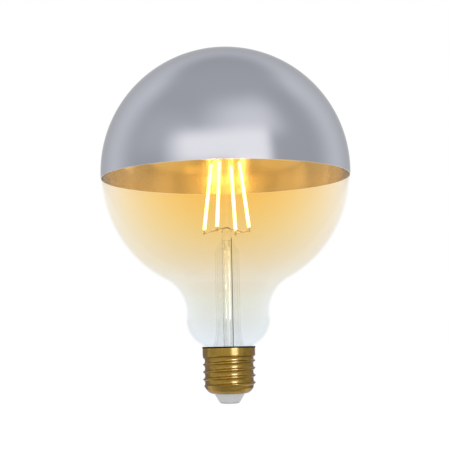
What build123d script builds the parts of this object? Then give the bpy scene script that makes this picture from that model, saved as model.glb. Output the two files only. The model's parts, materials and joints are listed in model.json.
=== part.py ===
from build123d import *

import os
from math import acos, asin, atan2, cos, degrees, hypot, radians, sin, sqrt, tan

# Silvered-crown globe lamp with four LED filaments and a screw cap.
# Millimetres. The origin is on the outer face of the centre contact and +Z runs up the
# lamp's axis to the crown. Sections are drawn in the XZ plane: radius, then height.

# Whole lamp
overall_height = 178.0
globe_diameter = 125.2  # over the silver coat

# Blown glass, outside faces
mirror_coat = 0.24
mirror_gap = 0.06  # between the coat and the glass
mirror_drop = 3.0  # edge of the silver below the globe's centre
glass_wall = 0.8
shoulder_start = 35.8  # degrees below the equator, where the globe turns into the shoulder
shoulder_curve = 56.6
waist_radius = 20.63  # of the circle that joins the shoulder to the neck, at its narrowest
neck_radius = 20.8
neck_rise = 14.3  # widest part of the neck above the cap's rim
neck_curve = 14.7
lip_radius = 11.3  # sealed end that goes down into the cap
lip_curve = 1.5
lip_depth = 6.3  # sealed end below the cap's rim

# Screw cap: drawn brass with a rolled right-hand thread
cap_height = 27.3
sheet = 0.3
collar_radius = 13.1
collar_length = 3.6
thread_crest_radius = 13.05
thread_root_radius = 12.05
thread_pitch = 3.629
thread_crest_curve = 0.48
thread_phase = 2.95  # height of the thread's crest where it starts, on the +X side
thread_fade_low = (11.4, 6.8)  # cone that fades the thread out at the bottom corner
thread_fade_high = (13.4, 10.13)
thread_sink = 0.35  # how far the ridge's foot reaches into the drawn tube
valley_flat = 0.03  # drawn tube proud of the thread's root
cap_hole_radius = 7.5
cap_bottom = 4.8

# Insulator and centre contact
insulator_tip_radius = 5.2
insulator_tip_z = 0.9
insulator_top = 7.2
shank_radius = 1.5
shank_bore = 0.3
shank_top = 6.4
contact_radius = 4.9
contact_flat_radius = 3.6
contact_edge = 0.35
contact_belly = 0.35  # how full the dome's edge is, as a share of its height

# Cement between the neck and the cap
cement_bead_height = 0.75
cement_bead_radius = 13.25

# Glass stem: flared tube, press, exhaust tube and arbor
stem_radius = 6.0
stem_wall = 1.0
flare_rise = 10.7  # end of the flare above the cap's rim
flare_rim = 1.0  # straight edge that seats in the neck's sealed end
press_rise = 0.4  # press above the filaments' lower ends
press_height = 6.8
press_width = 5.3
press_depth = 8.0
press_round = 2.4
shoulder_height = 5.5  # tube drawn in to the press
exhaust_radius = 2.2
exhaust_wall = 0.6
exhaust_reach = 13.3  # sealed tip below the cap's rim
exhaust_tip_wall = 1.5
exhaust_tip_round = 1.6
exhaust_bury = 0.5  # exhaust tube up inside the press
funnel_height = 3.6  # end of the stem's bore above its shoulder
arbor_radius = 0.8
arbor_bury = 3.3  # arbor down inside the press
bead_radius = 1.6

# LED filaments: a leaning cage of four, the first and second on one lead's cross bar
first_azimuth = 157.8
filament_spacing = 90.0  # degrees between the two on one cross bar
filament_foot_radius = 12.1
filament_top_radius = 7.7
cage_drop = 28.5  # filaments' lower ends below the globe's centre
filament_rise = 33.1
coat_width = 1.7
coat_thickness = 1.3
coat_corner = 0.55
coat_end_round = 0.35
strip_width = 0.8
strip_thickness = 0.4
tab_width = 0.8
tab_thickness = 0.25
tab_reach = 2.6  # bare metal beyond the coat
tab_inset = 1.2  # metal inside the coat
weld_inset = 0.8  # weld above the tab's free end
weld_gap = 0.03

# Nickel wires that carry the filaments
nickel_radius = 0.25
lead_x = 2.3
lead_y = -1.5
lead_bend = 2.2
lead_over_press = 0.6
lead_bury = 5.3  # joint of nickel and copper below the press's top
bar_overhang = 0.7
top_wire_radius = 0.22
top_wire_spacing = 1.3
top_wire_half_run = 1.5
top_wire_bend = 0.9
top_wire_gap = 0.03
bead_rise = 4.2  # arbor's bead above the filaments' upper ends

# Copper leads down to the driver
copper_radius = 0.2
copper_bend_z = 19.5
copper_bend = 0.8
copper_pad_x = 3.4
copper_pad_y = 0.4
copper_pad_z = 16.2

# Driver board, standing on the insulator
board_width = 17.0
board_height = 10.0
board_thickness = 1.0
board_front_y = 2.9
board_corner = 0.6
board_gap = 0.1  # between the board and what is mounted on it
pin_radius = 0.25
pin_tail = 0.7  # pins past the far side of the board

# Parts on the board
can_radius = 3.15
can_length = 7.6
can_x = -6.0
can_z = 11.9
can_round = 0.5
can_pin_spacing = 2.5
fuse_radius = 1.6
fuse_length = 5.4
fuse_x = 6.0
fuse_y = 0.8
fuse_z = 12.4
fuse_round = 0.5
fuse_lead_rise = 0.8
package_width = 3.9
package_height = 4.6
package_depth = 1.7
package_chamfer = 0.25
package_z = 12.1
bridge_x = -0.6
driver_x = 5.2
leg_reach = 0.8
leg_rise = 0.9
leg_sheet = 0.2
bridge_leg_width = 0.7
bridge_leg_pitch = 2.5
driver_leg_width = 0.4
driver_leg_pitch = 1.27
chip_length = 2.0
chip_height = 1.25
chip_depth = 0.55
chip_x = -2.4
chip_pitch = 6.6
chip_z = 8.4

# Wires from the driver to the cap
contact_wire_z = 8.1
contact_wire_end = 2.4
wire_bend = 0.6
shell_wire_x = 7.3
shell_wire_run = 1.3
shell_wire_azimuth = 35.0
shell_wire_turn = 3.5  # turns of thread below the wire, half of one for a valley
shell_wire_gap = 0.1

# Worked out from the sizes above
coat_radius = globe_diameter / 2
coat_inner_radius = coat_radius - mirror_coat
glass_radius = coat_inner_radius - mirror_gap
globe_z = overall_height - globe_diameter / 2
neck_z = cap_height + neck_rise
lip_end_z = cap_height - lip_depth
board_back_y = board_front_y + board_thickness
filament_azimuths = [
    first_azimuth,
    first_azimuth + filament_spacing,
    first_azimuth + 180,
    first_azimuth + filament_spacing + 180,
]
half_spread = filament_spacing / 2
filament_foot_z = globe_z - cage_drop
press_top = filament_foot_z + press_rise
press_bottom = press_top - press_height
stem_top = press_bottom - shoulder_height
flare_start = cap_height + flare_rise
exhaust_tip = cap_height - exhaust_reach
exhaust_top = press_bottom + exhaust_bury
funnel_top = stem_top + funnel_height
arbor_foot = press_top - arbor_bury
lead_joint_z = press_top - lead_bury


def polar(centre, radius, angle):
    """Point at an angle, in degrees, on a circle in the section plane."""
    return centre[0] + radius * cos(radians(angle)), centre[1] + radius * sin(radians(angle))


def heading(start, end):
    """Direction, in degrees, from one point of the section plane to another."""
    return degrees(atan2(end[1] - start[1], end[0] - start[0]))


def waist_circle(narrowest, upper, upper_reach, lower, lower_reach):
    """Centre and radius of the circle that touches two others and is narrowest at a radius."""
    (upper_r, upper_z), (lower_r, lower_z) = upper, lower
    upper_gap, lower_gap = narrowest - upper_r, narrowest - lower_r
    p = 1 / (upper_reach - upper_gap)
    q = 1 / (lower_reach - lower_gap)
    square = p - q
    linear = q * lower_z - p * upper_z
    rest = p * (upper_z**2 + upper_gap**2 - upper_reach**2)
    rest -= q * (lower_z**2 + lower_gap**2 - lower_reach**2)
    height = (-linear - sqrt(linear**2 - square * rest)) / square
    curve = p * ((height - upper_z) ** 2 + upper_gap**2 - upper_reach**2) / 2
    return (narrowest + curve, height), curve


# Centres of the arcs that make the glass's outline, from the globe down to the lip
globe_centre = (0, globe_z)
shoulder_centre = polar(globe_centre, glass_radius - shoulder_curve, -shoulder_start)
neck_centre = (neck_radius - neck_curve, neck_z)
waist_centre, waist_curve = waist_circle(
    waist_radius, shoulder_centre, shoulder_curve, neck_centre, neck_curve
)
lip_centre_r = lip_radius + lip_curve
lip_centre = (
    lip_centre_r,
    neck_z - sqrt((neck_curve + lip_curve) ** 2 - (lip_centre_r - neck_centre[0]) ** 2),
)


def arc_between(centre, radius, start, end):
    """Arc about a centre from one direction, in degrees, to another."""
    return CenterArc(centre, radius, start, end - start)


def glass_outline(inset):
    """Outline of the blown glass, moved into the glass by inset."""
    shoulder_end = heading(shoulder_centre, waist_centre)
    waist_end = heading(waist_centre, neck_centre) % 360
    neck_end = heading(neck_centre, lip_centre)
    arc_between(globe_centre, glass_radius - inset, 90, -shoulder_start)
    arc_between(shoulder_centre, shoulder_curve - inset, -shoulder_start, shoulder_end)
    arc_between(waist_centre, waist_curve + inset, shoulder_end + 180, waist_end)
    arc_between(neck_centre, neck_curve - inset, waist_end - 180, neck_end)
    arc_between(lip_centre, lip_curve + inset, neck_end + 180, 180)
    Line((lip_radius - inset, lip_centre[1]), (lip_radius - inset, lip_end_z))


def bent_wire(points, bends, radius):
    """Round wire along straight runs joined by bends."""
    with BuildPart() as wire:
        with BuildLine() as route:
            FilletPolyline(*points, radius=bends)
        with BuildSketch(Plane(route.line @ 0, z_dir=route.line % 0)):
            Circle(radius)
        sweep(path=route.line)
    return wire.part


def save(part, name):
    """Label a finished piece and write its STEP file."""
    part.label = name
    export_step(part, f"parts/{name}.step")


os.makedirs("parts", exist_ok=True)

# Blown glass, from the crown to the sealed end inside the cap
with BuildPart() as glass_envelope:
    with BuildSketch(Plane.XZ):
        with BuildLine():
            glass_outline(0)
            Line((lip_radius, lip_end_z), (lip_radius - glass_wall, lip_end_z))
            glass_outline(glass_wall)
            Line((0, globe_z + glass_radius - glass_wall), (0, globe_z + glass_radius))
        make_face()
    revolve(axis=Axis.Z)
save(glass_envelope.part, "glass_envelope")

# Silver coat over the crown, with a clean edge just below the equator
mirror_inner_edge = -degrees(asin(mirror_drop / coat_inner_radius))
mirror_outer_edge = -degrees(asin(mirror_drop / coat_radius))
with BuildPart() as mirror_crown:
    with BuildSketch(Plane.XZ):
        with BuildLine():
            outside = arc_between(globe_centre, coat_radius, 90, mirror_outer_edge)
            inside = arc_between(globe_centre, coat_inner_radius, 90, mirror_inner_edge)
            Line(outside @ 1, inside @ 1)
            Line(outside @ 0, inside @ 0)
        make_face()
    revolve(axis=Axis.Z)
save(mirror_crown.part, "mirror_crown")

# Screw cap: a drawn tube with a rolled thread that runs out into the plain collar
tube_radius = thread_root_radius + valley_flat
corner_curve = tube_radius - cap_hole_radius
corner_centre = (cap_hole_radius, cap_bottom + corner_curve)
collar_z = cap_height - collar_length


def valley_curve(low, high):
    """Radius of the hollow that runs smoothly into a crest's arc over half a thread."""
    depth = high - low
    return ((thread_pitch / 2) ** 2 + depth**2) / (2 * depth) - thread_crest_curve


def cap_blank(inset):
    """Drawn tube with its collar and bottom corner, moved into the metal by inset."""
    hollow = valley_curve(tube_radius, collar_radius)
    hollow_centre = (tube_radius + hollow, collar_z - thread_pitch / 2)
    round_centre = (collar_radius - thread_crest_curve, collar_z)
    flank = heading(hollow_centre, round_centre) % 360
    with BuildPart() as blank:
        with BuildSketch(Plane.XZ):
            with BuildLine():
                corner = arc_between(corner_centre, corner_curve - inset, -90, 0)
                dip = arc_between(hollow_centre, hollow + inset, 180, flank)
                brow = arc_between(round_centre, thread_crest_curve - inset, flank - 180, 0)
                Line(corner @ 1, dip @ 0)
                bottom_z = (corner @ 0).Y
                top_r = (brow @ 1).X
                Polyline(brow @ 1, (top_r, cap_height), (0, cap_height), (0, bottom_z), corner @ 0)
            make_face()
        revolve(axis=Axis.Z)
    return blank.part


def thread_ridge(inset):
    """Helical ridge of the thread, moved into the metal by inset and faded at its foot."""
    hollow = valley_curve(thread_root_radius, thread_crest_radius) + inset
    hollow_r = thread_root_radius - inset + hollow
    crest_centre = (thread_crest_radius - thread_crest_curve, thread_phase)
    under_centre = (hollow_r, thread_phase - thread_pitch / 2)
    over_centre = (hollow_r, thread_phase + thread_pitch / 2)
    flank = heading(crest_centre, over_centre)
    shelf = degrees(acos(1 - valley_flat / hollow))
    foot = tube_radius - inset - thread_sink
    climb = collar_z + thread_pitch / 2 - thread_phase
    low_r, low_z = thread_fade_low
    high_r, high_z = thread_fade_high
    lean = inset * hypot(high_r - low_r, high_z - low_z) / (high_z - low_z)
    with BuildPart() as ridge:
        with BuildLine() as route:
            Helix(thread_pitch, climb, thread_crest_radius, center=(0, 0, thread_phase))
        with BuildSketch(Plane.XZ):
            with BuildLine():
                under = arc_between(under_centre, hollow, 180 - shelf, 180 - flank)
                arc_between(crest_centre, thread_crest_curve - inset, -flank, flank)
                over = arc_between(over_centre, hollow, 180 + flank, 180 + shelf)
                Polyline(over @ 1, (foot, (over @ 1).Y), (foot, (under @ 0).Y), under @ 0)
            make_face()
        sweep(path=route.line, is_frenet=True)
        with BuildSketch(Plane.XZ):
            with BuildLine():
                fade = Line((low_r - lean, low_z), (high_r - lean, high_z))
                Polyline(fade @ 1, (high_r - lean, cap_height), (0, cap_height), (0, low_z), fade @ 0)
            make_face()
        revolve(axis=Axis.Z, mode=Mode.INTERSECT)
    return ridge.part


with BuildPart() as cap_shell:
    add(cap_blank(0))
    add(thread_ridge(0))
    add(cap_blank(sheet), mode=Mode.SUBTRACT)
    add(thread_ridge(sheet), mode=Mode.SUBTRACT)
    with BuildSketch(Plane.XY.offset(cap_bottom)):
        Circle(cap_hole_radius)
    extrude(amount=sheet, mode=Mode.SUBTRACT)
save(cap_shell.part, "cap_shell")

# Insulator moulded into the bottom of the shell, with the bore for the contact
shelf_curve = corner_curve - sheet
shelf_angle = degrees(asin((insulator_top - corner_centre[1]) / shelf_curve))
with BuildPart() as cap_insulator:
    with BuildSketch(Plane.XZ):
        with BuildLine():
            seat = arc_between(corner_centre, shelf_curve, -90, shelf_angle)
            Polyline(
                seat @ 1,
                (shank_radius, insulator_top),
                (shank_radius, insulator_tip_z),
                (insulator_tip_radius, insulator_tip_z),
                (cap_hole_radius, cap_bottom),
                seat @ 0,
            )
        make_face()
    revolve(axis=Axis.Z)
save(cap_insulator.part, "cap_insulator")

# Centre contact: a domed plate with a hollow shank pressed up the insulator's bore
with BuildPart() as centre_contact:
    with BuildSketch(Plane.XZ):
        with BuildLine():
            edge_z = insulator_tip_z - contact_edge
            rim = Line((contact_radius, insulator_tip_z), (contact_radius, edge_z))
            dome = ThreePointArc(
                rim @ 1,
                ((contact_radius + contact_flat_radius) / 2, edge_z * contact_belly),
                (contact_flat_radius, 0),
            )
            Polyline(
                dome @ 1,
                (0, 0),
                (0, insulator_tip_z),
                (shank_bore, insulator_tip_z),
                (shank_bore, shank_top),
                (shank_radius, shank_top),
                (shank_radius, insulator_tip_z),
                rim @ 0,
            )
        make_face()
    revolve(axis=Axis.Z)
save(centre_contact.part, "centre_contact")

# Cement between the neck and the collar, with the bead that was squeezed over the rim
squeezed_z = cap_height + cement_bead_height
hug_end = 180 - degrees(asin((squeezed_z - lip_centre[1]) / lip_curve))
with BuildPart() as basing_cement:
    with BuildSketch(Plane.XZ):
        with BuildLine():
            hug = arc_between(lip_centre, lip_curve, 180, hug_end)
            top = Line(hug @ 1, (cement_bead_radius - cement_bead_height / 2, squeezed_z))
            nose = ThreePointArc(
                top @ 1,
                (cement_bead_radius, squeezed_z - cement_bead_height / 2),
                (cement_bead_radius - cement_bead_height / 2, cap_height),
            )
            Polyline(
                nose @ 1,
                (collar_radius - sheet, cap_height),
                (collar_radius - sheet, collar_z),
                (lip_radius, collar_z),
                hug @ 0,
            )
        make_face()
    revolve(axis=Axis.Z)
save(basing_cement.part, "basing_cement")


def turned(point, angle):
    """A point carried round the lamp's axis by an angle in degrees."""
    return Vector(*point).rotate(Axis.Z, angle)


# Lead wires: copper from the driver to the press, nickel on to a cross bar for two filaments
bar_azimuth = first_azimuth + half_spread
filament_lean = atan2(filament_foot_radius - filament_top_radius, filament_rise)
weld_drop = tab_reach - weld_inset
weld_radius = filament_foot_radius + weld_drop * sin(filament_lean)
weld_z = filament_foot_z - weld_drop * cos(filament_lean)
bar_reach = weld_radius * cos(radians(half_spread)) - tab_thickness / 2 - nickel_radius - weld_gap
bar_half_length = weld_radius * sin(radians(half_spread)) + bar_overhang
arm_reach = bar_reach + nickel_radius
arm_z = weld_z + 2 * nickel_radius
bend_z = press_top + lead_over_press
wires = {}
for side, turn in (("front", 0), ("rear", 180)):
    arm_end = turned((arm_reach, 0, arm_z), bar_azimuth + turn)
    riser = [turned((lead_x, lead_y, z), turn) for z in (lead_joint_z, bend_z)]
    wires[f"nickel_lead_{side}"] = bent_wire([*riser, arm_end], lead_bend, nickel_radius)
    bar_middle = turned((bar_reach, 0, weld_z), bar_azimuth + turn)
    bar_direction = turned((0, 1, 0), bar_azimuth + turn)
    with BuildPart() as cross_bar:
        with BuildSketch(Plane(bar_middle, z_dir=bar_direction)):
            Circle(nickel_radius)
        extrude(amount=bar_half_length, both=True)
    wires[f"cross_bar_{side}"] = cross_bar.part

copper_end_y = board_back_y + pin_tail
wires["copper_lead_front"] = bent_wire(
    [
        (lead_x, lead_y, lead_joint_z),
        (lead_x, lead_y, copper_bend_z),
        (copper_pad_x, copper_pad_y, copper_pad_z),
        (copper_pad_x, copper_end_y, copper_pad_z),
    ],
    copper_bend,
    copper_radius,
)
wires["copper_lead_rear"] = bent_wire(
    [
        (-lead_x, -lead_y, lead_joint_z),
        (-lead_x, -lead_y, copper_pad_z),
        (-lead_x, copper_end_y, copper_pad_z),
    ],
    copper_bend,
    copper_radius,
)

# Top wires: each joins the upper ends of two facing filaments through the arbor's bead
filament_top_z = filament_foot_z + filament_rise
top_weld_r = filament_top_radius - weld_drop * sin(filament_lean)
top_weld_z = filament_top_z + weld_drop * cos(filament_lean)
tab_skew = tan(radians(half_spread))
top_wire_r = top_weld_r - tab_thickness / 2 / cos(radians(half_spread)) - top_wire_radius * tab_skew
bead_z = filament_top_z + bead_rise
for number, azimuth in enumerate(filament_azimuths[:2], start=1):
    level = bead_z + (number - 1.5) * top_wire_spacing
    route = [
        (top_wire_r - top_wire_gap, 0, top_weld_z),
        (top_wire_half_run, 0, level),
        (-top_wire_half_run, 0, level),
        (top_wire_gap - top_wire_r, 0, top_weld_z),
    ]
    points = [turned(point, azimuth) for point in route]
    wires[f"top_wire_{number}"] = bent_wire(points, top_wire_bend, top_wire_radius)

for name, wire in wires.items():
    save(wire, name)

# Arbor: a glass cane from the press to the bead that holds the top wires
with BuildPart() as arbor:
    with BuildSketch(Plane.XY.offset(arbor_foot)):
        Circle(arbor_radius)
    extrude(amount=bead_z - arbor_foot)
    with Locations((0, 0, bead_z)):
        Sphere(bead_radius)
    add(wires["top_wire_1"], mode=Mode.SUBTRACT)
    add(wires["top_wire_2"], mode=Mode.SUBTRACT)
save(arbor.part, "arbor")

# Exhaust tube: from the press down into the cap, where its tip was sealed off
with BuildPart() as exhaust_tube:
    with BuildSketch(Plane.XY.offset(exhaust_tip)):
        Circle(exhaust_radius)
    extrude(amount=exhaust_top - exhaust_tip)
    fillet(exhaust_tube.edges().group_by(Axis.Z)[0], exhaust_tip_round)
    with BuildSketch(Plane.XY.offset(exhaust_tip + exhaust_tip_wall)):
        Circle(exhaust_radius - exhaust_wall)
    extrude(amount=exhaust_top, mode=Mode.SUBTRACT)
save(exhaust_tube.part, "exhaust_tube")

# Stem: flared tube sealed inside the neck, drawn in at its top and pressed on the wires
flare_radius = lip_radius - glass_wall
flare_run = flare_start - flare_rim - lip_end_z
flare_step = flare_radius - stem_radius
flare_curve = (flare_run**2 + flare_step**2) / (2 * flare_step)
flare_centre = (stem_radius + flare_curve, flare_start)
flare_angle = 180 + degrees(asin(flare_run / flare_curve))
with BuildPart() as glass_stem:
    with BuildSketch(Plane.XZ):
        with BuildLine():
            outer = arc_between(flare_centre, flare_curve, flare_angle, 180)
            inner = arc_between(flare_centre, flare_curve + stem_wall, flare_angle, 180)
            Polyline(outer @ 0, (flare_radius, lip_end_z), ((inner @ 0).X, lip_end_z), inner @ 0)
            Polyline(
                outer @ 1,
                (stem_radius, stem_top),
                (stem_radius - stem_wall, stem_top),
                inner @ 1,
            )
        make_face()
    revolve(axis=Axis.Z)
    with BuildSketch(Plane.XY.offset(stem_top)):
        Circle(stem_radius)
    with BuildSketch(Plane.XY.offset(press_bottom)):
        SlotOverall(press_depth, press_width, rotation=90)
    loft()
    with BuildSketch(Plane.XY.offset(press_bottom)):
        SlotOverall(press_depth, press_width, rotation=90)
    extrude(amount=press_top - press_bottom)
    fillet(glass_stem.edges().group_by(Axis.Z)[-1], press_round)
    with BuildSketch(Plane.XZ):
        with BuildLine():
            Polyline(
                (0, stem_top),
                (stem_radius - stem_wall, stem_top),
                (exhaust_radius, funnel_top),
                (exhaust_radius, exhaust_top),
                (0, exhaust_top),
                close=True,
            )
        make_face()
    revolve(axis=Axis.Z, mode=Mode.SUBTRACT)
    with BuildSketch(Plane.XY.offset(arbor_foot)):
        Circle(arbor_radius)
    extrude(amount=press_top - arbor_foot, mode=Mode.SUBTRACT)
    for side in ("front", "rear"):
        add(wires[f"nickel_lead_{side}"], mode=Mode.SUBTRACT)
        add(wires[f"copper_lead_{side}"], mode=Mode.SUBTRACT)
save(glass_stem.part, "glass_stem")


def filament_plane(azimuth, bar):
    """Plane across a filament's lower end: Z along it, X along the cross bar's azimuth."""
    foot = turned((filament_foot_radius, 0, filament_foot_z), azimuth)
    top = turned((filament_top_radius, 0, filament_top_z), azimuth)
    return Plane(foot, x_dir=turned((0, 1, 0), bar), z_dir=top - foot)


# LED filaments: glass strip with welded end tabs inside a phosphor coat
filament_length = hypot(filament_foot_radius - filament_top_radius, filament_rise)
for number, azimuth in enumerate(filament_azimuths, start=1):
    towards_bar = half_spread if number % 2 else -half_spread
    foot_plane = filament_plane(azimuth, azimuth + towards_bar)
    with BuildPart() as filament_strip:
        with BuildSketch(foot_plane.offset(tab_inset)):
            Rectangle(strip_width, strip_thickness)
        extrude(amount=filament_length - 2 * tab_inset)
    save(filament_strip.part, f"filament_strip_{number}")
    with BuildPart() as filament_tabs:
        with BuildSketch(
            foot_plane.offset(-tab_reach), foot_plane.offset(filament_length - tab_inset)
        ):
            Rectangle(tab_width, tab_thickness)
        extrude(amount=tab_reach + tab_inset)
    save(filament_tabs.part, f"filament_tabs_{number}")
    with BuildPart() as filament_coat:
        with BuildSketch(foot_plane):
            RectangleRounded(coat_width, coat_thickness, coat_corner)
        extrude(amount=filament_length)
        ends = filament_coat.faces().filter_by(GeomType.PLANE).sort_by(Axis.Z)
        fillet(ends[0].edges() + ends[-1].edges(), coat_end_round)
        add(filament_strip.part, mode=Mode.SUBTRACT)
        add(filament_tabs.part, mode=Mode.SUBTRACT)
    save(filament_coat.part, f"filament_coat_{number}")


def across(x, y, z):
    """Plane at a point, facing along the board's depth, from the front to the back."""
    return Plane((x, y, z), x_dir=(1, 0, 0), z_dir=(0, 1, 0))


# Smoothing capacitor, lying on its side with its pins through the board
with BuildPart() as smoothing_capacitor:
    with BuildSketch(across(can_x, board_front_y - board_gap, can_z)):
        Circle(can_radius)
    extrude(amount=-can_length)
    fillet(smoothing_capacitor.edges().filter_by(GeomType.CIRCLE), can_round)
    with BuildSketch(across(can_x, board_front_y - board_gap, can_z)):
        with GridLocations(can_pin_spacing, 0, 2, 1):
            Circle(pin_radius)
    extrude(amount=board_gap + board_thickness + pin_tail)
save(smoothing_capacitor.part, "smoothing_capacitor")

# Fusible resistor, standing beside the exhaust tube, with its upper lead through the board
fuse_foot_z = fuse_z - fuse_length / 2
fuse_head_z = fuse_z + fuse_length / 2
fuse_lead_z = fuse_head_z + fuse_lead_rise
fuse_lead = bent_wire(
    [
        (fuse_x, fuse_y, fuse_head_z),
        (fuse_x, fuse_y, fuse_lead_z),
        (fuse_x, board_back_y + pin_tail, fuse_lead_z),
    ],
    wire_bend,
    pin_radius,
)
with BuildPart() as fusible_resistor:
    with BuildSketch(Plane.XY.offset(fuse_foot_z)):
        with Locations((fuse_x, fuse_y)):
            Circle(fuse_radius)
    extrude(amount=fuse_length)
    fillet(fusible_resistor.edges().filter_by(GeomType.CIRCLE), fuse_round)
    add(fuse_lead)
save(fusible_resistor.part, "fusible_resistor")

# Wire from the fusible resistor's foot into the contact's shank
contact_wire = bent_wire(
    [
        (fuse_x, fuse_y, fuse_foot_z),
        (fuse_x, fuse_y, contact_wire_z),
        (0, 0, contact_wire_z),
        (0, 0, contact_wire_end),
    ],
    wire_bend,
    pin_radius,
)
save(contact_wire, "contact_wire")

# Wire from the board to the inside of the shell, at a valley of the thread
shell_wire_z = thread_phase + thread_pitch * (shell_wire_turn + shell_wire_azimuth / 360)
shell_wire_reach = tube_radius - sheet - pin_radius - shell_wire_gap
shell_wire = bent_wire(
    [
        (shell_wire_x, board_front_y - pin_tail, shell_wire_z),
        (shell_wire_x, board_back_y + shell_wire_run, shell_wire_z),
        turned((shell_wire_reach, 0, shell_wire_z), shell_wire_azimuth),
    ],
    wire_bend,
    pin_radius,
)
save(shell_wire, "shell_wire")


def package(x, rows, leg_pitch, leg_width):
    """Moulded package on the back of the board, with rows of bent legs on both sides."""
    seat = across(x, board_back_y, package_z)
    on_board = (Align.CENTER, Align.CENTER, Align.MIN)
    with BuildPart() as body:
        with BuildSketch(seat.offset(board_gap)):
            Rectangle(package_width, package_height)
        extrude(amount=package_depth)
        chamfer(body.edges().group_by(Axis.Y)[-1], package_chamfer)
        with Locations(seat):
            with GridLocations(package_width + leg_reach, leg_pitch, 2, rows):
                Box(leg_reach, leg_width, leg_sheet, align=on_board)
            with GridLocations(package_width + leg_sheet, leg_pitch, 2, rows):
                Box(leg_sheet, leg_width, leg_rise, align=on_board)
    return body.part


save(package(bridge_x, 2, bridge_leg_pitch, bridge_leg_width), "bridge_rectifier")
save(package(driver_x, 4, driver_leg_pitch, driver_leg_width), "driver_chip")

# Two chip resistors under the packages
with BuildPart() as chip_resistors:
    with BuildSketch(across(chip_x, board_back_y, chip_z)):
        with GridLocations(chip_pitch, 0, 2, 1):
            Rectangle(chip_length, chip_height)
    extrude(amount=chip_depth)
save(chip_resistors.part, "chip_resistors")

# Driver board, drilled for every wire and pin that goes through it
with BuildPart() as driver_board:
    with BuildSketch(across(0, board_front_y, insulator_top + board_height / 2)):
        RectangleRounded(board_width, board_height, board_corner)
    extrude(amount=board_thickness)
    for through in (
        wires["copper_lead_front"],
        wires["copper_lead_rear"],
        fuse_lead,
        shell_wire,
        smoothing_capacitor.part,
    ):
        add(through, mode=Mode.SUBTRACT)
save(driver_board.part, "driver_board")
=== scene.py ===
import json
import math

import bpy
from mathutils import Matrix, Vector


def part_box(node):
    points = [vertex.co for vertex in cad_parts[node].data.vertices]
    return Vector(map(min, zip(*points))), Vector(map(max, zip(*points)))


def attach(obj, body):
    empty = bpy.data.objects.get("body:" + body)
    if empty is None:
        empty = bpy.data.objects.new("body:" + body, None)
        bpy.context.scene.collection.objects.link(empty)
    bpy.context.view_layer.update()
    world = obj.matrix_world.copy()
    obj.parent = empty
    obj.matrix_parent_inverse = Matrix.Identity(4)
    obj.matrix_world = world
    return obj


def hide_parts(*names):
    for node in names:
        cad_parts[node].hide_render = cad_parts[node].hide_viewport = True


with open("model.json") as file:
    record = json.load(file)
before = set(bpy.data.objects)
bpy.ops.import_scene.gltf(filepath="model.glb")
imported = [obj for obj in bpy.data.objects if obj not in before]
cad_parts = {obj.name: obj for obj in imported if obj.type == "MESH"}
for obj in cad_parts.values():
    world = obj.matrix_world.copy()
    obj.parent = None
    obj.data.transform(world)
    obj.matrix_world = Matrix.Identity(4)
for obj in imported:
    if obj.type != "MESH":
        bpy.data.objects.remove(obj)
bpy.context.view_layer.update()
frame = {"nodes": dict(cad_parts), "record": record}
nodes = frame["nodes"]

MM = 0.001  # one millimetre in the scene's metres


def node_box(name):
    """A node's lowest and highest corner in millimetres, to a hundredth."""
    low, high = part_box(name)
    return [round(value / MM, 2) for value in low], [round(value / MM, 2) for value in high]


# Sizes in millimetres of the silver, the blown glass and the cap, from the frame
coat_low, coat_high = node_box("mirror_crown")
coat_radius = coat_high[0]
globe_z = coat_high[2] - coat_radius
mirror_drop = globe_z - coat_low[2]
glass_radius = node_box("glass_envelope")[1][2] - globe_z
cap_rim_z = node_box("cap_shell")[1][2]

# Sizes in millimetres that the boxes don't show, as in the part's source
MIRROR_GAP = 0.06
GLASS_WALL = 0.8
SHOULDER_START = 35.8  # degrees below the globe's middle, where it turns into the shoulder
SHOULDER_CURVE = 56.6
WAIST_CURVE = 19.2
NECK_RADIUS = 20.8
NECK_RISE = 14.3  # widest part of the neck above the cap's rim
NECK_CURVE = 14.7
LIP_RADIUS = 11.3  # sealed end that goes down into the cap
LIP_CURVE = 1.5
LIP_DEPTH = 6.3  # sealed end below the cap's rim


# Shader building blocks

def material(name, builder):
    mat = bpy.data.materials.new(name)
    mat.use_nodes = True
    tree = mat.node_tree
    tree.nodes.clear()
    out = tree.nodes.new("ShaderNodeOutputMaterial")
    tree.links.new(builder(tree), out.inputs["Surface"])
    return mat


def feed(tree, socket, value):
    """Set a socket to a value, or link it to another node's output."""
    if isinstance(value, bpy.types.NodeSocket):
        tree.links.new(value, socket)
    else:
        socket.default_value = value


def shader(tree, kind, **sockets):
    node = tree.nodes.new(kind)
    for name, value in sockets.items():
        feed(tree, node.inputs[name.replace("_", " ")], value)
    return node.outputs[0]


def principled(tree, colour, roughness, metallic=0.0, **sockets):
    return shader(tree, "ShaderNodeBsdfPrincipled", Base_Color=colour, Roughness=roughness,
                  Metallic=metallic, **sockets)


def glossy(tree, roughness):
    return shader(tree, "ShaderNodeBsdfGlossy", Color=(1, 1, 1, 1), Roughness=roughness)


def mix_shader(tree, factor, first, second):
    node = tree.nodes.new("ShaderNodeMixShader")
    feed(tree, node.inputs[0], factor)
    tree.links.new(first, node.inputs[1])
    tree.links.new(second, node.inputs[2])
    return node.outputs[0]


def mix_colour(tree, factor, first, second):
    node = tree.nodes.new("ShaderNodeMix")
    node.data_type = "RGBA"
    feed(tree, node.inputs["Factor"], factor)
    feed(tree, node.inputs[6], first)
    feed(tree, node.inputs[7], second)
    return node.outputs[2]


def math_node(tree, operation, *values):
    node = tree.nodes.new("ShaderNodeMath")
    node.operation = operation
    for socket, value in zip(node.inputs, values):
        feed(tree, socket, value)
    return node.outputs[0]


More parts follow.
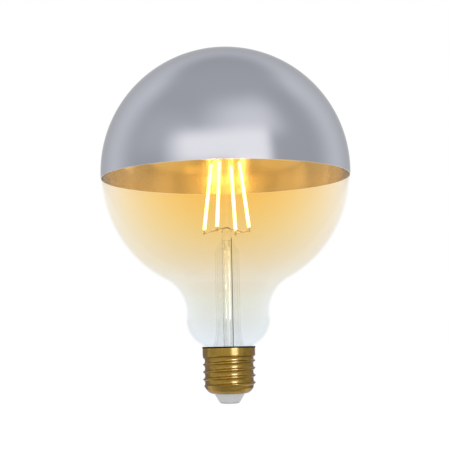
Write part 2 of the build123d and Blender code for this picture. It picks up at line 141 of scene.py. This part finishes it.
def ramp(tree, value, low, high, to_low=0.0, to_high=1.0, step="SMOOTHSTEP"):
    """Bring a value between two limits to another range, by a smooth step or in a LINEAR way."""
    node = tree.nodes.new("ShaderNodeMapRange")
    node.interpolation_type = step
    for socket, number in zip(node.inputs, (value, low, high, to_low, to_high)):
        feed(tree, socket, number)
    return node.outputs[0]


def colour_ramp(tree, value, stops):
    node = tree.nodes.new("ShaderNodeValToRGB")
    elements = node.color_ramp.elements
    while len(elements) < len(stops):
        elements.new(0.5)
    for element, (place, colour) in zip(elements, stops):
        element.position = place
        element.color = (*colour, 1)
    feed(tree, node.inputs[0], value)
    return node.outputs[0]


def coordinates(tree, kind):
    """X, Y and Z of an object's own coordinates (Object) or of a direction in the world (Generated)."""
    place = tree.nodes.new("ShaderNodeTexCoord").outputs[kind]
    split = tree.nodes.new("ShaderNodeSeparateXYZ")
    tree.links.new(place, split.inputs[0])
    return split.outputs


def noise(tree, scale, detail=3.0, stretch=(1, 1, 1)):
    """Grey noise over the object, in its own coordinates in metres."""
    place = tree.nodes.new("ShaderNodeTexCoord").outputs["Object"]
    mapping = tree.nodes.new("ShaderNodeMapping")
    mapping.inputs["Scale"].default_value = stretch
    tree.links.new(place, mapping.inputs["Vector"])
    node = tree.nodes.new("ShaderNodeTexNoise")
    node.inputs["Scale"].default_value = scale
    node.inputs["Detail"].default_value = detail
    tree.links.new(mapping.outputs[0], node.inputs["Vector"])
    return node.outputs["Fac"]


def cloudy(tree, grain, low, high):
    """A value that follows a noise from one limit to the other."""
    return ramp(tree, grain, 0.3, 0.7, low, high)


def bump(tree, height, strength, distance):
    node = tree.nodes.new("ShaderNodeBump")
    node.inputs["Strength"].default_value = strength
    node.inputs["Distance"].default_value = distance
    feed(tree, node.inputs["Height"], height)
    return node.outputs[0]


def turned_away(tree):
    """From 0 where glass is looked at straight on to 1 where it is looked along."""
    node = tree.nodes.new("ShaderNodeLayerWeight")
    node.inputs["Blend"].default_value = 0.5
    return node.outputs["Facing"]


def reflected_share(tree, straight, added):
    """Share of light that glass reflects: straight on, and what is added where it is looked along."""
    power = math_node(tree, "POWER", turned_away(tree), 5.0)
    return math_node(tree, "ADD", straight, math_node(tree, "MULTIPLY", power, added))


# Materials

# Heights in metres between which the glass's tint changes, and the share of the way where the silver begins
TINT_FOOT = 0.030
TINT_TOP = 0.115
SILVER_EDGE = 0.9692


def bulb_glass(tree):
    """Thin clear glass with an amber tint that fades towards the neck, and a painted reflection that pales
    it towards the outline.
    """
    level = ramp(tree, coordinates(tree, "Object")["Z"], TINT_FOOT, TINT_TOP, step="LINEAR")
    tint = colour_ramp(tree, level, [
        (0.00, (0.925, 0.944, 0.968)),
        (0.26, (0.932, 0.929, 0.884)),
        (0.34, (0.932, 0.892, 0.804)),
        (0.40, (0.934, 0.862, 0.716)),
        (0.46, (0.941, 0.855, 0.680)),
        (0.52, (0.949, 0.857, 0.664)),
        (0.64, (0.966, 0.862, 0.622)),
        (0.76, (0.982, 0.862, 0.585)),
        (0.88, (0.988, 0.850, 0.562)),
        (SILVER_EDGE - 0.0017, (0.990, 0.842, 0.540)),
        (SILVER_EDGE, (1.0, 1.0, 1.0)),
    ])
    # Painted reflection: where the glass is looked along, its tint is mixed towards paler colours in place
    # of the white it reflects there.
    away = turned_away(tree)
    painted_reflection_share = math_node(tree, "MULTIPLY", away, math_node(tree, "SUBTRACT", 2.0, away))
    painted_reflection_share = math_node(tree, "MULTIPLY", painted_reflection_share, 0.94)
    painted_reflection_tint = colour_ramp(tree, level, [
        (0.00, (0.955, 0.972, 0.984)),
        (0.30, (0.955, 0.957, 0.945)),
        (0.50, (0.965, 0.950, 0.914)),
        (0.85, (0.982, 0.972, 0.955)),
    ])
    clear = shader(tree, "ShaderNodeBsdfTransparent", Color=mix_colour(tree, painted_reflection_share, tint, painted_reflection_tint))
    return mix_shader(tree, reflected_share(tree, 0.010, 0.20), clear, glossy(tree, 0.06))


def clear_tube(straight, roughness):
    """Clear glass: bright through its middle, with grey lines of painted shade where it turns away."""
    def build(tree):
        clear = shader(tree, "ShaderNodeBsdfTransparent", Color=(0.995, 0.995, 0.99, 1))
        # Painted shade: the glass is greyer where it is looked along, in place of its darker outline.
        dark = shader(tree, "ShaderNodeBsdfTransparent", Color=(0.84, 0.81, 0.75, 1))
        body = mix_shader(tree, ramp(tree, turned_away(tree), 0.68, 1.0), clear, dark)
        return mix_shader(tree, reflected_share(tree, straight, 0.30), body, glossy(tree, roughness))
    return build


def silver_outside(tree):
    """Satin silver with a faint cloudiness in its gloss."""
    rough = cloudy(tree, noise(tree, 60.0), 0.17, 0.20)
    return principled(tree, (0.545, 0.555, 0.612, 1), rough, 1.0, Specular_Tint=(0.6, 0.6, 0.6, 1))


def silver_inside(tree):
    """The mirror seen from inside through the tinted glass."""
    return principled(tree, (0.98, 0.90, 0.76, 1), cloudy(tree, noise(tree, 45.0), 0.11, 0.14), 0.84)


def cap_brass(tree):
    """Aged and lacquered brass, duller and browner in patches."""
    patch = noise(tree, 320.0, 5.0, (1, 1, 2.5))
    browner = ramp(tree, patch, 0.35, 0.7)
    colour = mix_colour(tree, browner, (0.485, 0.288, 0.022, 1), (0.375, 0.224, 0.018, 1))
    rough = cloudy(tree, patch, 0.15, 0.23)
    fine = noise(tree, 2600.0, 2.0)
    return principled(tree, colour, rough, 1.0, Normal=bump(tree, fine, 0.05, 0.0001),
                      Coat_Weight=1.0, Coat_Roughness=0.16, Coat_IOR=1.5,
                      Specular_Tint=(0.3, 0.2, 0.1, 1))


def dark_cement(tree):
    """Cement with a fine grain, near-black: its own dark colour and painted shade of the gap at the cap's
    rim.
    """
    grain = noise(tree, 1800.0)
    # The near-black is partly painted shade, for the shadow in the gap between the cap's rim and the glass.
    colour = mix_colour(tree, grain, (0.004, 0.004, 0.004, 1), (0.012, 0.011, 0.010, 1))
    return principled(tree, colour, 0.7, Specular_IOR_Level=0.12, Normal=bump(tree, grain, 0.3, 0.0001))


def phosphor_coat(tree):
    """The lit coat of a filament."""
    colour = mix_colour(tree, noise(tree, 1500.0), (1.0, 0.80, 0.42, 1), (1.0, 0.84, 0.48, 1))
    return principled(tree, colour, 0.5, Emission_Color=(1.0, 0.70, 0.36, 1), Emission_Strength=7.5)


def metal(colour, smooth, rough):
    """Bare metal with a roughness that varies between two values."""
    def build(tree):
        return principled(tree, (*colour, 1), cloudy(tree, noise(tree, 900.0), smooth, rough), 1.0)
    return build


def moulded(dark, light, roughness, scale):
    """Plain material that varies between two colours."""
    def build(tree):
        colour = mix_colour(tree, noise(tree, scale), (*dark, 1), (*light, 1))
        return principled(tree, colour, roughness)
    return build


# One look for each slot, and more for the silver's inside, for its edge with a painted highlight, and for
# the exhaust tube
looks = {
    "bulb_glass": bulb_glass,
    "silver_mirror": silver_outside,
    "silver_inside": silver_inside,
    # The silver's thin edge is a pale matte colour: a painted highlight line
    "painted_highlight_edge": moulded((0.86, 0.84, 0.78), (0.92, 0.90, 0.85), 0.4, 300.0),
    "cap_brass": cap_brass,
    "cap_insulator": moulded((0.51, 0.51, 0.512), (0.54, 0.54, 0.542), 0.42, 400.0),
    "contact_metal": metal((0.74, 0.74, 0.75), 0.55, 0.65),
    "dark_cement": dark_cement,
    "stem_glass": clear_tube(0.03, 0.08),
    "exhaust_glass": clear_tube(0.10, 0.05),
    "nickel_wire": metal((0.72, 0.66, 0.56), 0.3, 0.45),
    "copper_wire": metal((0.20, 0.17, 0.15), 0.25, 0.4),
    "tinned_wire": metal((0.93, 0.93, 0.92), 0.2, 0.35),
    "filament_strip": moulded((0.82, 0.82, 0.80), (0.88, 0.88, 0.86), 0.4, 900.0),
    "phosphor_coat": phosphor_coat,
    "board_laminate": moulded((0.66, 0.68, 0.60), (0.72, 0.74, 0.66), 0.5, 500.0),
    "capacitor_sleeve": moulded((0.02, 0.02, 0.025), (0.03, 0.03, 0.035), 0.3, 500.0),
    "resistor_body": moulded((0.20, 0.33, 0.24), (0.24, 0.38, 0.28), 0.4, 500.0),
    "moulded_package": moulded((0.015, 0.015, 0.016), (0.03, 0.03, 0.03), 0.5, 900.0),
    "chip_ceramic": moulded((0.04, 0.04, 0.045), (0.06, 0.06, 0.065), 0.4, 900.0),
}
finish = {name: material(name, build) for name, build in looks.items()}

slot_of = {part["node"]: part["material_slot"] for part in frame["record"]["subparts"]}
for name, node in nodes.items():
    node.data.materials.clear()
    node.data.materials.append(finish[slot_of[name]])
    for face in node.data.polygons:
        face.use_smooth = True
nodes["exhaust_tube"].data.materials[0] = finish["exhaust_glass"]


# The glass and the silver as smooth turned bodies

def arc_point(centre, radius, angle):
    """Point of a circle in the section plane, its angle in degrees."""
    a = math.radians(angle)
    return centre[0] + radius * math.cos(a), centre[1] + radius * math.sin(a)


def arc_points(centre, radius, start, end, steps):
    return [arc_point(centre, radius, start + (end - start) * i / steps) for i in range(steps + 1)]


def heading(start, end):
    return math.degrees(math.atan2(end[1] - start[1], end[0] - start[0]))


def turned_body(name, profile, run_looks, mats, segments, creases=()):
    """A closed body turned round Z from points of radius and height, where radius 0 is on the axis.

    run_looks gives each run of the profile its place in mats. creases lists the points with a sharp edge.
    """
    verts, rings = [], []
    for radius, z in profile:
        copies = segments if radius > 0 else 1
        rings.append([len(verts) + k for k in range(copies)])
        for k in range(copies):
            a = 2 * math.pi * k / segments
            verts.append((radius * MM * math.cos(a), radius * MM * math.sin(a), z * MM))

    faces, face_looks = [], []
    for ring, next_ring, look in zip(rings, rings[1:] + rings[:1], run_looks):
        if len(ring) == len(next_ring) == 1:
            continue
        for k in range(segments):
            after = (k + 1) % segments
            if len(ring) == 1:
                face = (ring[0], next_ring[after], next_ring[k])
            elif len(next_ring) == 1:
                face = (ring[k], ring[after], next_ring[0])
            else:
                face = (ring[k], ring[after], next_ring[after], next_ring[k])
            faces.append(face)
            face_looks.append(look)

    mesh = bpy.data.meshes.new(name)
    mesh.from_pydata(verts, [], faces)
    for mat in mats:
        mesh.materials.append(mat)
    mesh.polygons.foreach_set("material_index", face_looks)
    mesh.polygons.foreach_set("use_smooth", [True] * len(faces))
    mesh.validate()
    mesh.update()
    sharp = set()
    for ring in (rings[i] for i in creases):
        sharp.update(frozenset(pair) for pair in zip(ring, ring[1:] + ring[:1]))
    for edge in mesh.edges:
        edge.use_edge_sharp = frozenset(edge.vertices) in sharp
    body = bpy.data.objects.new(name, mesh)
    bpy.context.scene.collection.objects.link(body)
    return body


def waist_centre(shoulder, neck):
    """Centre of the waist's circle, which touches the shoulder's and the neck's from outside the glass."""
    shoulder_reach, neck_reach = SHOULDER_CURVE + WAIST_CURVE, NECK_CURVE + WAIST_CURVE
    apart = math.dist(shoulder, neck)
    along = (apart**2 + shoulder_reach**2 - neck_reach**2) / (2 * apart)
    across = math.sqrt(shoulder_reach**2 - along**2)
    dr, dz = (neck[0] - shoulder[0]) / apart, (neck[1] - shoulder[1]) / apart
    return max(
        (shoulder[0] + along * dr - side * across * dz, shoulder[1] + along * dz + side * across * dr)
        for side in (-1, 1)
    )


def glass_profile(inset):
    """The blown glass's outline from the crown to the sealed end, moved in by inset."""
    globe = (0.0, globe_z)
    shoulder = arc_point(globe, glass_radius - SHOULDER_CURVE, -SHOULDER_START)
    neck = (NECK_RADIUS - NECK_CURVE, cap_rim_z + NECK_RISE)
    waist = waist_centre(shoulder, neck)
    lip_r = LIP_RADIUS + LIP_CURVE
    lip = (lip_r, neck[1] - math.sqrt((NECK_CURVE + LIP_CURVE) ** 2 - (lip_r - neck[0]) ** 2))
    shoulder_end = heading(shoulder, waist)
    waist_end = heading(waist, neck) % 360
    neck_end = heading(neck, lip)
    points = arc_points(globe, glass_radius - inset, 90, -SHOULDER_START, steps=110)
    points += arc_points(shoulder, SHOULDER_CURVE - inset, -SHOULDER_START, shoulder_end, steps=24)[1:]
    points += arc_points(waist, WAIST_CURVE + inset, shoulder_end + 180, waist_end, steps=20)[1:]
    points += arc_points(neck, NECK_CURVE - inset, waist_end - 180, neck_end, steps=24)[1:]
    points += arc_points(lip, LIP_CURVE + inset, neck_end + 180, 180, steps=8)[1:]
    points.append((LIP_RADIUS - inset, cap_rim_z - LIP_DEPTH))
    points[0] = (0.0, points[0][1])
    return points


def coat_points(radius):
    """One side of the silver coat, from the crown to its level edge."""
    edge = -math.degrees(math.asin(mirror_drop / radius))
    points = arc_points((0.0, globe_z), radius, 90, edge, steps=100)
    points[0] = (0.0, points[0][1])
    return points


profile = glass_profile(0) + glass_profile(GLASS_WALL)[::-1]
glass = turned_body("blown_glass", profile, [0] * len(profile), [finish["bulb_glass"]], segments=192)
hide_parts("glass_envelope")
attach(glass, "root")

outside = coat_points(coat_radius)
inside = coat_points(glass_radius + MIRROR_GAP)
coat_looks = [finish["silver_mirror"], finish["silver_inside"], finish["painted_highlight_edge"]]
run_looks = [0] * (len(outside) - 1) + [2] + [1] * len(inside)
rim = (len(outside) - 1, len(outside))
crown = turned_body("silver_crown", outside + inside[::-1], run_looks, coat_looks, segments=256, creases=rim)
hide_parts("mirror_crown")
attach(crown, "root")


# Studio: the surroundings as soft boxes in the world, and a pale floor

# Each box has its azimuth and its elevation as (start, full, full, end) in degrees, and its level.
# Azimuth 0 is on the camera's side, and it grows to the viewer's right.
SOFT_BOXES = (
    ((-64, -30, 36, 47), (0, 2.5, 20, 36), 0.80),  # the main panel in front
    ((-45, 22, 36, 75), (18, 34, 42, 70), 0.45),  # over it, brightest at the right
    ((5, 14, 36, 46), (-4, -1.5, 0.5, 3.5), 1.5),  # bright bar on the horizon at the right
    ((12, 20, 36, 44), (-16, -11, -7, -4), 0.42),  # weaker bar under that one
    ((-110, -70, -45, -26), (5, 20, 30, 55), 0.10),  # faint panel at the left
    ((-85, -70, -45, -25), (-26, -20, -8, -2), 0.22),  # low panel at the left
    ((25, 45, 70, 85), (-26, -20, -8, -2), 0.22),  # low panel at the right
)


def soft_box(tree, angles, spans, level):
    """Light of one soft box, which fades between the full part of each span and its ends."""
    value = level
    for angle, (start, full, still_full, end) in zip(angles, spans):
        value = math_node(tree, "MULTIPLY", value, ramp(tree, angle, start, full))
        value = math_node(tree, "MULTIPLY", value, ramp(tree, angle, still_full, end, 1.0, 0.0))
    return value


def studio(tree):
    """White where it is looked at or through, and soft boxes on grey where it is reflected."""
    x, y, z = coordinates(tree, "Generated")
    front = math_node(tree, "MULTIPLY", y, -1.0)
    azimuth = math_node(tree, "MULTIPLY", math_node(tree, "ARCTAN2", x, front), 180 / math.pi)
    elevation = math_node(tree, "MULTIPLY", math_node(tree, "ARCSINE", z), 180 / math.pi)
    aside = math_node(tree, "ABSOLUTE", azimuth)

    # Grey in front, paler behind and even overhead
    room = tree.nodes.new("ShaderNodeMix")
    feed(tree, room.inputs["Factor"], ramp(tree, elevation, 48.0, 68.0))
    feed(tree, room.inputs["A"], ramp(tree, aside, 85.0, 125.0, 0.58, 0.96))
    feed(tree, room.inputs["B"], 0.60)

    # Half as bright in a band along the horizon in front
    above_band = ramp(tree, elevation, -0.5, 3.0)
    below_band = ramp(tree, elevation, -9.0, -4.0, 1.0, 0.0)
    off_band = math_node(tree, "MAXIMUM", above_band, below_band)
    off_band = math_node(tree, "MAXIMUM", off_band, ramp(tree, aside, 30.0, 62.0))
    total = math_node(tree, "MULTIPLY", room.outputs[0], ramp(tree, off_band, 0.0, 1.0, 0.5, 1.0))

    # The soft boxes are added, and all of it is dimmer from far below
    for *spans, level in SOFT_BOXES:
        total = math_node(tree, "ADD", total, soft_box(tree, (azimuth, elevation), spans, level))
    total = math_node(tree, "MULTIPLY", total, ramp(tree, elevation, -62.0, -36.0, 0.72, 1.0))

    # A little cool where it is dim and warm where it is bright
    brightness = ramp(tree, total, 0.8, 1.35)
    tint = mix_colour(tree, brightness, (0.965, 0.978, 1.0, 1), (1.0, 0.975, 0.955, 1))
    studio_light = shader(tree, "ShaderNodeBackground", Color=tint, Strength=total)
    white = shader(tree, "ShaderNodeBackground", Color=(1, 1, 1, 1), Strength=1.0)
    path = tree.nodes.new("ShaderNodeLightPath")
    seen = math_node(tree, "MAXIMUM", path.outputs["Is Camera Ray"], path.outputs["Is Transmission Ray"])
    return mix_shader(tree, seen, studio_light, white)


world = bpy.data.worlds.new("studio")
world.use_nodes = True
world.node_tree.nodes.clear()
world_out = world.node_tree.nodes.new("ShaderNodeOutputWorld")
world.node_tree.links.new(studio(world.node_tree), world_out.inputs["Surface"])
bpy.context.scene.world = world


def floor_look(tree):
    """Grey that takes little light and glows, so that it is as white as the background."""
    colour = mix_colour(tree, noise(tree, 3.0), (0.11, 0.11, 0.11, 1), (0.13, 0.13, 0.13, 1))
    return principled(tree, colour, 0.9, Specular_IOR_Level=0.0,
                      Emission_Color=(1, 1, 1, 1), Emission_Strength=0.95)


FLOOR_SIZE = 12.0
FLOOR_Z = -0.0002  # just clear of the contact
bpy.ops.mesh.primitive_plane_add(size=FLOOR_SIZE, location=(0, 0, FLOOR_Z))
floor = bpy.context.object
floor.name = "floor"
floor.data.materials.append(material("floor", floor_look))
floor.visible_glossy = False

# Tall strip lights that reach one piece each: name, azimuth in degrees, width, height, height of the
# middle, power, colour and the piece. Brass reflects little blue, so blue light looks nearly white in it.
STRIPS = (
    ("cap_strip", 25.0, 0.16, 0.36, 0.216, 3.2, (0.18, 0.29, 1.0), "cap_shell"),
    ("stem_strip", 62.0, 0.08, 0.115, 0.052, 0.48, (1.0, 1.0, 1.0), "exhaust_tube"),
)
STRIP_DISTANCE = 0.4  # from the lamp's axis
for name, azimuth, width, height, middle, power, colour, lit_node in STRIPS:
    bpy.ops.object.light_add(type="AREA")
    strip = bpy.context.object
    strip.name = name
    strip.data.shape = "RECTANGLE"
    strip.data.size, strip.data.size_y = width, height
    strip.data.energy = power
    strip.data.color = colour
    strip.visible_camera = False
    strip.matrix_world = (
        Matrix.Rotation(math.radians(azimuth), 4, "Z")
        @ Matrix.Translation((0, -STRIP_DISTANCE, middle))
        @ Matrix.Rotation(math.pi / 2, 4, "X")
    )
    lit = bpy.data.collections.new("lit_by_" + name)
    lit.objects.link(nodes[lit_node])
    strip.light_linking.receiver_collection = lit


def card_look(tree):
    return shader(tree, "ShaderNodeEmission", Color=(1, 1, 1, 1), Strength=0.42)


# Grey cards on both sides of the cap, seen only in reflections: each one's x and the y of its front edge
CARDS = ((-0.030, -0.003), (0.030, -0.022))
CARD_DEPTH = 0.060
CARD_HEIGHT = 0.048
CARD_MIDDLE_Z = 0.018
card_mat = material("card", card_look)
for x, front in CARDS:
    middle = (x, front + CARD_DEPTH / 2, CARD_MIDDLE_Z)
    bpy.ops.mesh.primitive_plane_add(size=1.0, location=middle, rotation=(0, math.pi / 2, 0))
    card = bpy.context.object
    card.name = "card"
    card.scale = (CARD_HEIGHT, CARD_DEPTH, 1)
    card.data.materials.append(card_mat)
    card.visible_camera = card.visible_diffuse = card.visible_transmission = card.visible_shadow = False

# Camera as fitted to the photograph
PHOTO_WIDTH = 450  # pixels
FOCAL_LENGTH = 1218.5  # pixels
AXIS_COLUMN = 226.45  # column of pixels where the lamp's axis stands
SENSOR_WIDTH = 36.0  # millimetres
CAMERA_PLACE = (0, -0.6075, 0.0258)
CAMERA_PITCH = math.radians(5.91)
CAMERA_YAW = math.atan((AXIS_COLUMN - PHOTO_WIDTH / 2) / FOCAL_LENGTH)
CAMERA_ROLL = math.radians(-1.1)
bpy.ops.object.camera_add()
camera = bpy.context.object
camera.data.sensor_width = SENSOR_WIDTH
camera.data.lens = FOCAL_LENGTH / PHOTO_WIDTH * SENSOR_WIDTH
camera.data.clip_start = 0.01
camera.matrix_world = (
    Matrix.Translation(CAMERA_PLACE)
    @ Matrix.Rotation(CAMERA_YAW, 4, "Z")
    @ Matrix.Rotation(math.pi / 2 + CAMERA_PITCH, 4, "X")
    @ Matrix.Rotation(CAMERA_ROLL, 4, "Z")
)
bpy.context.scene.camera = camera
bpy.context.scene.view_settings.view_transform = "Standard"
bpy.context.scene.cycles.transparent_max_bounces = 32  # glass inside glass, and the mirror behind it
